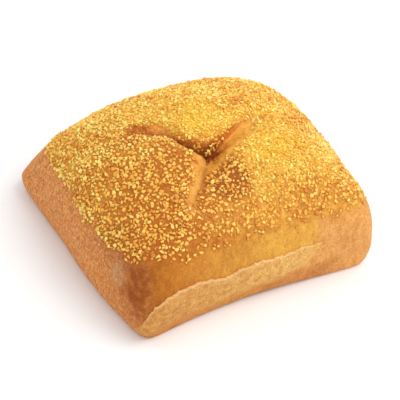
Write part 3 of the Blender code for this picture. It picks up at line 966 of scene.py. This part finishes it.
crust_finish, tree, shader = new_finish("baked_crust")
floury, torn, beside = (given(tree, name) for name in ("floury", "torn", "beside_grits"))
sugars = flecks(tree, 420.0, 6.0, 0.74, squeezed=0.4)
mottle = ramp(tree, sugars, (0.30, (0.80, 0.68, 0.46)), (0.70, (1.16, 1.28, 1.54)))
speckle = flecks(tree, 1500.0, 3.0, 0.7)
pores = ramp(tree, speckle, (0.32, (0.80, 0.66, 0.48)), (0.54, (1.04, 1.04, 1.04)))
shreds = ramp(tree, flecks(tree, 700.0, 4.0, 0.7), (0.48, 0.0), (0.66, 0.55))
flaws = ramp(tree, flecks(tree, 900.0, 5.0, 0.8), (0.47, 0.0), (0.58, 0.9))
specks = ramp(tree, flecks(tree, 1000.0, 5.0, 0.8), (0.51, 0.0), (0.60, 1.0))
dusting = reckoned(tree, "MULTIPLY", reckoned(tree, "MULTIPLY", specks, floury), 0.70)

coloured = tinted(tree, tinted(tree, given(tree, "crust_colour", "Color"), mottle), pores)
for amount, colour in (
    (reckoned(tree, "MULTIPLY", torn, shreds), STRETCHED),
    # the darker ring round each grit: browning, with painted shade
    (reckoned(tree, "MULTIPLY", beside, 0.50), SCORCHED_AND_SHADED),
    (reckoned(tree, "MULTIPLY", flaws, floury), FLAWED),
    (dusting, FLOURED),
):
    coloured = mixed(tree, amount, coloured, colour)
wire(tree, shader, coloured, ramp(tree, speckle, (0.3, 0.52), (0.7, 0.74)))
torn_relief = reckoned(tree, "MULTIPLY", torn, flecks(tree, 900.0, 4.0))
raise_bump(tree, shader, reckoned(tree, "ADD", speckle, torn_relief), 0.45, 0.00025)
fill(shader, subsurface_weight=0.12, subsurface_radius=(1.0, 0.45, 0.2),
     subsurface_scale=0.0012, specular_ior_level=0.2)
crust.data.materials.append(crust_finish)
print("baked_crust has", len(tree.nodes), "nodes")

# %% [markdown]
# ## The torn skin
#
# Along the foot of the front side a strip of pale skin, left from where this roll was pulled
# from its neighbour, stands a millimetre proud with a ragged upper edge, and dips under the
# crust at its right end. Raising the crust there would make the edge as coarse as the crust's
# cells. A thin piece of its own, with columns a quarter of a millimetre apart that follow the
# wall by ray casting, keeps it crisp.

# %% The strip's edges and its section
TOP_LINE = (  # along the front side, height, in millimetres
    (-51.4, 4.6), (-50.8, 8.1), (-49.8, 12.0), (-48.3, 15.6), (-46.6, 18.2), (-42.3, 21.4),
    (-37.6, 22.8), (-29.3, 21.9), (-24.4, 21.2), (-17.0, 19.2), (-11.5, 19.7), (-3.0, 21.0),
    (4.4, 20.6), (11.7, 20.5), (17.3, 21.5), (22.0, 20.8), (26.3, 21.2), (31.0, 20.4),
    (34.0, 18.6), (36.0, 16.0),
)
FOOT_LINE = ((-51.4, 1.0), (-20.0, 1.6), (0.0, 4.2), (16.0, 7.5), (30.0, 10.0), (36.0, 12.0))
FRAYS = ((0.0005, 0.0060), (0.0006, 0.0019), (0.0006, 0.0007))  # swing and length of each wave
SECTION = (  # round the strip: share of its height, how far it stands out, buried if below 0
    (0.0, -0.30), (0.10, 0.10), (0.28, 0.50), (0.50, 0.72), (0.70, 0.82), (0.86, 0.92),
    (0.96, 1.10), (1.0, 1.0), (1.0, 0.35), (0.975, -1.4), (0.5, -1.8), (0.03, -1.4),
)


def height_on(rows, along):
    """The height of an edge line, so far along the front side, in metres."""
    places, heights = np.array(rows).T
    return float(np.interp(along, places / 1000, heights / 1000))


def upper_edge(along):
    """The upper edge's line, frayed by three waves of noise."""
    height = height_on(TOP_LINE, along)
    for swing, length in FRAYS:
        height += swing * noise.noise(Vector((along / length, 1.7 + length, 0.0)))
    return height


print(f"the strip is {TOP_LINE[-1][0] - TOP_LINE[0][0]:.0f} mm long")

# %% Laying the strip on the wall
COLUMNS = 340
PROUD, BEDDED = 0.0010, 0.00005  # it stands out by the first, less a little of the second
SUNK = 0.0013  # how deep its right end dips under the crust
ROUGH, RAGGED_END = 0.10, 0.07  # swings of its surface and of the line where it dips under
DIPS_FROM = 0.70  # share of its length
AHEAD, IN_FRONT = Vector((0.0, 1.0, 0.0)), -0.1

wall = BVHTree.FromObject(crust, bpy.context.evaluated_depsgraph_get())
skin_mesh = bmesh.new()
rings, shares_up, shares_along = [], [], []
start, end = TOP_LINE[0][0] / 1000, TOP_LINE[-1][0] / 1000
for i in range(COLUMNS + 1):
    passed = i / COLUMNS
    along = start + (end - start) * passed
    low, high = height_on(FOOT_LINE, along), upper_edge(along)
    proud = PROUD * float(smooth_step(0.0, 0.02, passed))
    ring = []
    for share, stands_out in SECTION:
        level = low + (high - low) * share
        place, facing, *_ = wall.ray_cast(Vector((along, IN_FRONT, level)) + FORM_SHIFT, AHEAD)
        rough = ROUGH * noise.noise(Vector((along / 0.0016, level / 0.003, 4.0)))
        ragged = RAGGED_END * noise.noise(Vector((along / 0.004, level / 0.0025, 9.0)))
        sunk = SUNK * float(smooth_step(DIPS_FROM, 1.0, passed + ragged))
        out = proud * (stands_out + rough) - sunk - BEDDED * (1 - passed)
        ring.append(skin_mesh.verts.new(place + facing * out))
        shares_up.append(share)
        shares_along.append(passed)
    rings.append(ring)
print("columns laid:", len(rings))

# %% Closing the strip
for ring, next_ring in zip(rings, rings[1:]):
    for k in range(len(ring)):
        after = (k + 1) % len(ring)
        skin_mesh.faces.new((ring[k], next_ring[k], next_ring[after], ring[after]))
skin_mesh.faces.new(rings[0])
skin_mesh.faces.new(rings[-1][::-1])
bmesh.ops.recalc_face_normals(skin_mesh, faces=skin_mesh.faces)
torn_skin = new_piece("torn_skin", skin_mesh)
torn_skin.data.shade_smooth()
store(torn_skin.data, "up_the_strip", shares_up)
store(torn_skin.data, "along_the_strip", shares_along)
print("the torn skin has", len(torn_skin.data.polygons), "faces")

# %% [markdown]
# The strip is pale because it never saw the oven's heat directly. Its fibres run upwards, so
# the height of their noise is squeezed. Its foot fades into the browner crust below, its upper
# edge carries a painted highlight where it catches the light, and its right end takes the
# colour of the crust beside it.

# %% The torn skin's material
SKIN_DARK, SKIN_LIGHT = linear((204, 134, 62)), linear((242, 184, 104))
# the second colour is a painted highlight for the strip's upper edge
SKIN_FOOT, SKIN_EDGE_HIGHLIGHT = shown((204, 132, 66)), shown((250, 216, 160))

skin_finish, tree, shader = new_finish("torn_skin")
up, passed = given(tree, "up_the_strip"), given(tree, "along_the_strip")
fibres = flecks(tree, 1900.0, 6.0, 0.8, squeezed=0.5)
streaks = ramp(tree, fibres, (0.38, (0.76, 0.64, 0.46)), (0.60, (1.07, 1.12, 1.20)))
crust_streaks = ramp(tree, fibres, (0.34, (0.86, 0.78, 0.64)), (0.62, (1.06, 1.10, 1.16)))
paler_right = ramp(tree, passed, (0.1, (0.88, 0.86, 0.82)), (0.85, (1.10, 1.30, 1.42)))
at_foot = ramp(tree, up, (0.0, 1.0), (0.35, 0.0))
# a painted highlight along the strip's upper edge, where it catches the light
edge_highlight = ramp(tree, up, (0.95, 0.0), (1.0, 0.45))
merging = ramp(tree, passed, (0.82, 0.0), (0.94, 1.0))

pale = ramp(tree, flecks(tree, 420.0, 8.0, 0.78), (0.36, SKIN_DARK), (0.64, SKIN_LIGHT))
pale = tinted(tree, tinted(tree, pale, streaks), paler_right)
pale = mixed(tree, edge_highlight, mixed(tree, at_foot, pale, SKIN_FOOT), SKIN_EDGE_HIGHLIGHT)
crusty = tinted(tree, shown(ZONES["right_foot"]), crust_streaks)
coloured = mixed(tree, merging, pale, crusty)
wire(tree, shader, coloured, ramp(tree, fibres, (0.3, 0.66), (0.7, 0.84)))
raise_bump(tree, shader, fibres, 0.6, 0.0003)
fill(shader, specular_ior_level=0.25)
torn_skin.data.materials.append(skin_finish)
print("torn_skin has", len(tree.nodes), "nodes")

# %% [markdown]
# ## The maize grits
#
# Grits are broken maize: hard, angular, a little see-through, from half a millimetre to more
# than two. A particle system would scatter them, but each grain should be real mesh that lies
# on the crust, so the places are chosen here, point by point. A broken grain is the tight skin
# round a few random points, which Blender calls a convex hull.

# %% Broken grains
GRIT_SEED = 7
draw = np.random.default_rng(GRIT_SEED)


def broken_grain(points):
    """One angular grain about 1 across: its corners and its triangles."""
    mesh = bmesh.new()
    for _ in range(points):
        way = draw.normal(size=3)
        way /= (np.abs(way) ** 4).sum() ** 0.25
        mesh.verts.new(way * draw.uniform(0.32, 0.50) * (1.0, 0.88, 0.78))
    bmesh.ops.convex_hull(mesh, input=mesh.verts)
    bmesh.ops.delete(mesh, geom=[v for v in mesh.verts if not v.link_faces], context="VERTS")
    bmesh.ops.triangulate(mesh, faces=mesh.faces)
    bmesh.ops.recalc_face_normals(mesh, faces=mesh.faces)
    mesh.verts.index_update()
    corners = np.array([v.co[:] for v in mesh.verts])
    triangles = np.array([[v.index for v in face.verts] for face in mesh.faces])
    mesh.free()
    return corners, triangles


print("a grain of 26 points has", len(broken_grain(26)[1]), "triangles")

# %% [markdown]
# Places are thrown over the crust by area and kept with a chance that the masks give: thick on
# the back lobe and the right shoulder, thinner and coarser on the near lobe, and none where
# the crust has torn. A grain is dropped if it would crowd one that is there already. Cubes of
# space remember who lies where.

# %% How thickly the grits lie
CLUMPS = (1.1, 0.0021, 30.0), (0.5, 0.0060, 31.0)  # swing, length, offset of each wave
BUNCHES = ((0.9, 0.0034, 37.0),)
THIN_FRONT = 0.0075  # the cover thins out over this height above the front's dip line


def thin_banks(places):
    """How far the splits' banks thin the cover, from 0 to 1."""
    x, y, _ = places.T
    on_back, on_left = lobes(x, y)
    (left, _), (right, _), (near, _) = beside_splits(places)
    lip_face = smooth_step(0.0026, 0.0014, left) * smooth_step(-0.0125, -0.0085, x)
    arm_edge = smooth_step(0.0026, 0.0012, right) * smooth_step(0.018, 0.008, x)
    low_lip = smooth_step(0.0050, 0.0020, left) * smooth_step(-0.0125, -0.0165, x)
    near_bank = smooth_step(0.0034, 0.0018, near) * smooth_step(-0.026, -0.018, y)
    on_back_lobe = np.maximum(0.55 * lip_face, 0.70 * arm_edge)
    return np.where(on_back, on_back_lobe, np.where(on_left, 0.45 * low_lip, 0.75 * near_bank))


def cover(places, where_packed, on_the_rim, where_apart):
    """A chance from 0 to 1 that a grain stays where it was thrown."""
    x, y, _ = places.T
    over_dip = above_dip(places)
    clumps = 1.0 + waves(places, CLUMPS)
    bunches = 0.15 + 0.85 * clumps + waves(places, BUNCHES)
    in_front = smooth_step(-0.028, -0.036, y) * smooth_step(-0.050, -0.036, x)
    thinned = 1.0 - 0.75 * in_front * smooth_step(THIN_FRONT, 0.0, over_dip)
    apart = where_apart * clumps * thinned * (1.0 - 0.7 * spot(places, "quiet place"))
    apart = apart + (on_the_rim * bunches - apart) * on_rim(places)
    thick = packed(places)
    chance = where_packed * thick + apart * (1.0 - thick)
    chance = chance * (1.0 - thin_banks(places)) * (1.0 - 0.6 * spot(places, "bowl's end"))
    chance = chance * (1.0 - 0.4 * spot(places, "thin left edge"))
    edge = dipped(over_dip, DIP_FADE + 0.0014 * in_front)
    return np.clip(chance, 0.0, 1.0) * edge * (1.0 - torn_bare(places))


behind_pit = cover(np.array([(0.0, 0.020, 0.047)]), 0.85, 0.36, 0.24)[0]
print(f"of 100 grains thrown behind the pit, {100 * behind_pit:.0f} would stay")

# %% Throwing places over the crust
FOOT_LEVEL = 0.004  # nothing is thrown lower than this
CUBE = 0.0030
NEIGHBOURS = [(p, q, r) for p in (-1, 0, 1) for q in (-1, 0, 1) for r in (-1, 0, 1)]
lying = {}  # the grains in each cube of space, as places and radii


def thrown(per_square_cm):
    """Random places on the crust, even by area, and the outward direction at each."""
    data = crust.data
    data.calc_loop_triangles()
    corners = np.empty(3 * len(data.loop_triangles), np.int32)
    data.loop_triangles.foreach_get("vertices", corners)
    a, b, c = places_of(data)[corners.reshape(-1, 3)].transpose(1, 0, 2)
    across = np.cross(b - a, c - a)
    areas = np.linalg.norm(across, axis=1)
    areas[a[:, 2] < FOOT_LEVEL] = 0.0
    count = int(per_square_cm * 1e4 * areas.sum() / 2)
    chosen = np.searchsorted(np.cumsum(areas), draw.uniform(0.0, areas.sum(), count))
    u, v = draw.uniform(size=(2, count, 1))
    u, v = np.where(u + v > 1.0, 1.0 - u, u), np.where(u + v > 1.0, 1.0 - v, v)
    spots = a[chosen] + u * (b - a)[chosen] + v * (c - a)[chosen]
    return spots, across[chosen] / areas[chosen, None]


def is_clear(place, radius, closeness):
    """Whether a grain would lie clear of those that are there, and if so remembers it."""
    i, j, k = (int(part // CUBE) for part in place)
    for p, q, r in NEIGHBOURS:
        for other, other_radius in lying.get((i + p, j + q, k + r), ()):
            if (place - other).length_squared < (closeness * (radius + other_radius)) ** 2:
                return False
    lying.setdefault((i, j, k), []).append((place, radius))
    return True


print(f"the cubes of space are {1000 * CUBE:.0f} mm wide, and {len(NEIGHBOURS)} are searched")

# %% Laying one grain
LEANS = 0.7  # how far a grain may tip over, in radians
OBLONG = (0.90, 1.20)
HALF_THICK = 0.39  # half a grain's thickness, as a share of its span
PATCH_SIZE = 0.011  # patches of paler and darker grains


def laid(shape, place, way, span, sunk):
    """A grain's corners: turned and stretched at random, and sunk into the crust by a share."""
    stand = Vector(way).to_track_quat("Z", "Y").to_matrix()
    spin = Matrix.Rotation(draw.uniform(0.0, math.tau), 3, "Z")
    lean = Matrix.Rotation(draw.uniform(-LEANS, LEANS), 3, "X")
    stretch = draw.uniform(*OBLONG)
    sized = shape * span * (stretch, 1.0 / stretch, 1.0)
    turned = sized @ np.array(stand @ (spin @ lean)).T
    return turned + np.array(place) + way * span * (HALF_THICK - sunk)


def own_tone(place, thick):
    """A grain's own tone: mostly chance, a little its patch, and paler where they lie thick."""
    patch = (0.12 + 0.26 * thick) * noise.noise(place / PATCH_SIZE)
    return (draw.uniform() + patch) * (0.72 + 0.28 * thick)


print(f"a grain leans over by up to {math.degrees(LEANS):.0f} degrees")

# %% Making one kind of grain
SHAPES = 16
MOSTLY_SMALL = 1.6  # a power: above 1, the small grains of a kind outnumber the large ones
SHARP_EDGE = math.radians(38)


def scatter(name, per_square_cm, spans, points, chances, closeness, sunk):
    """Lays grains of one kind on the crust, as one piece."""
    shapes = [broken_grain(points) for _ in range(SHAPES)]
    spots, ways = thrown(per_square_cm)
    kept = draw.uniform(size=len(spots)) < cover(spots - FORM_SHIFT, *chances)
    spots, ways = spots[kept], ways[kept]
    bare_spots = spots - FORM_SHIFT
    crowds, lemony = np.maximum(packed(bare_spots), on_rim(bare_spots)), lemon_patches(bare_spots)
    least, most = spans
    spans = least + (most - least) * draw.uniform(size=len(spots)) ** MOSTLY_SMALL
    corners, triangles, tones, lemons, made, first = [], [], [], [], 0, 0
    for place, way, span, thick, lemon in zip(spots, ways, spans, crowds, lemony):
        place = Vector(place)
        if not is_clear(place, span / 2, closeness):
            continue
        shape, faces = shapes[made % SHAPES]
        corners.append(laid(shape, place, way, span, sunk))
        triangles.append(faces + first)
        tones.append(np.full(len(shape), own_tone(place, thick)))
        lemons.append(np.full(len(shape), lemon))
        made, first = made + 1, first + len(shape)
    data = bpy.data.meshes.new(name)
    data.from_pydata(np.concatenate(corners), [], np.concatenate(triangles).tolist())
    data.shade_smooth()
    data.set_sharp_from_angle(angle=SHARP_EDGE)
    store(data, "tone", np.concatenate(tones))
    store(data, "lemon", np.concatenate(lemons))
    grains = bpy.data.objects.new(name, data)
    bpy.context.scene.collection.objects.link(grains)
    print(f"{name}: {made} grains, {len(data.polygons)} triangles")
    return grains


# %% [markdown]
# The largest grains go down first and the finer ones fill what is left between them, as they
# do in a tray of grits. Meal, the finest dust, comes last of all.

# %% Three sizes of grain, and the meal
KINDS = (  # name, thrown on a square cm, spans, points, chances, closeness, share sunk
    ("coarse_grits", 110, (0.0016, 0.0024), 16, (0.30, 0.66, 0.50), 0.62, 0.32),
    ("middle_grits", 220, (0.0012, 0.0017), 13, (0.85, 0.36, 0.24), 0.60, 0.30),
    ("fine_grits", 450, (0.0007, 0.0010), 9, (0.36, 0.10, 0.08), 0.62, 0.24),
    ("meal", 500, (0.00025, 0.00045), 7, (0.40, 0.10, 0.09), 0.60, 0.15),
)
kinds_of_grain = [scatter(*kind) for kind in KINDS]

# %% [markdown]
# Each grain sits in a darker ring: the crust browns where a grain scorches it, and the rest
# of the ring is painted shade, where the grain shades the crust. The places of the grains are
# known by now, and the crust's points can ask for the nearest one.

# %% The ring round each grain
RING_WIDTH = 0.0006
RINGS_ABOVE = 0.020
PALER_IF_PACKED = 0.65

grain_tree = KDTree(sum(len(grains) for grains in lying.values()))
radii = []
for grains in lying.values():
    for place, radius in grains:
        grain_tree.insert(place, len(radii))
        radii.append(radius)
grain_tree.balance()
ring_scorch_and_shade = np.zeros(len(form))
for i, place in enumerate(places_of(crust.data)):
    if place[2] > RINGS_ABOVE:
        _, nearest, away = grain_tree.find(place)
        ring_scorch_and_shade[i] = min(1.0, max(0.0, 1.0 - (away - radii[nearest]) / RING_WIDTH))
ring_scorch_and_shade *= 1.0 - PALER_IF_PACKED * packed(form)
store(crust.data, "beside_grits", ring_scorch_and_shade)
print(f"{100 * (ring_scorch_and_shade > 0.5).mean():.0f} % of the crust's points lie under or beside a grain")

# %% [markdown]
# Maize is hard starch: orange to deep yellow and cream, each grain a little different, and
# slightly see-through at its thin edges. Every grain carries a number of its own, and a ramp
# turns it into that grain's colour. A second number leans the two patches to lemon yellow.

# %% The grits' material
TONES = (  # a grain's number, and its colour
    (0.0, (214, 134, 44)), (0.16, (240, 174, 64)), (0.50, (248, 198, 86)), (1.0, (250, 228, 126)),
)
LEMON, LEMON_SHARE = shown((250, 206, 66)), 0.45

grit_finish, tree, shader = new_finish("maize_grits")
own = ramp(tree, given(tree, "tone"), *((place, linear(colour)) for place, colour in TONES))
leaning = reckoned(tree, "MULTIPLY", given(tree, "lemon"), LEMON_SHARE)
veins = ramp(tree, flecks(tree, 1400.0, 3.0), (0.3, 0.84), (0.65, 1.08))
coloured = tinted(tree, mixed(tree, leaning, own, LEMON), veins)
wire(tree, shader, coloured, ramp(tree, flecks(tree, 2200.0), (0.3, 0.38), (0.7, 0.60)))
raise_bump(tree, shader, flecks(tree, 2600.0), 0.3, 0.00012)
fill(shader, subsurface_weight=0.22, subsurface_radius=(1.0, 0.6, 0.2),
     subsurface_scale=0.0008, specular_ior_level=0.45)
for grains in kinds_of_grain:
    grains.data.materials.append(grit_finish)
print("maize_grits has", len(tree.nodes), "nodes")

# %% [markdown]
# ## The floor and the light
#
# The roll lies on a plain pale floor. A large soft light stands high on its right and a little
# in front, so that the front is bright, the left side falls into a quiet shade, and the pit
# and the gaps between the grits stay dark.

# %% The floor
FLOOR_HALF = 1.5

floor_mesh = bmesh.new()
bmesh.ops.create_grid(floor_mesh, x_segments=8, y_segments=8, size=FLOOR_HALF)
floor = new_piece("floor", floor_mesh)
floor_finish, tree, shader = new_finish("pale_floor")
paper = ramp(tree, flecks(tree, 40.0), (0.3, 0.93), (0.7, 0.95))
tree.links.new(paper, shader.inputs["Base Color"])
fill(shader, roughness=0.9, specular_ior_level=0.1)
floor.data.materials.append(floor_finish)
print(f"the floor is {2 * FLOOR_HALF:.0f} m across")

# %% The light
KEY_PLACE, KEY_SIZE, KEY_WATTS = (0.38, -0.25, 0.80), 0.60, 3.6
SKY_STRENGTH = 0.92

lamp = bpy.data.lights.new("key", "AREA")
lamp.size, lamp.energy = KEY_SIZE, KEY_WATTS
key = bpy.data.objects.new("key", lamp)
key.location = KEY_PLACE
key.rotation_euler = Vector(KEY_PLACE).to_track_quat("Z", "Y").to_euler()
bpy.context.scene.collection.objects.link(key)
sky = bpy.data.worlds.new("studio")
bpy.context.scene.world = sky
sky.use_nodes = True
sky.node_tree.nodes["Background"].inputs["Color"].default_value = (1.0, 1.0, 1.0, 1.0)
sky.node_tree.nodes["Background"].inputs["Strength"].default_value = SKY_STRENGTH
bpy.context.scene.view_settings.view_transform = "Standard"
print(f"one soft light of {KEY_WATTS} W, {KEY_SIZE} m wide")

# %% [markdown]
# ## Handing over
#
# Each piece rides on the roll's one body, and the crust stands for the imported solid, which is
# then hidden.

# %% Riding and replacing
for piece in (crust, torn_skin, *kinds_of_grain):
    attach(piece, "root")
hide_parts("maize_roll")
bpy.context.view_layer.update()
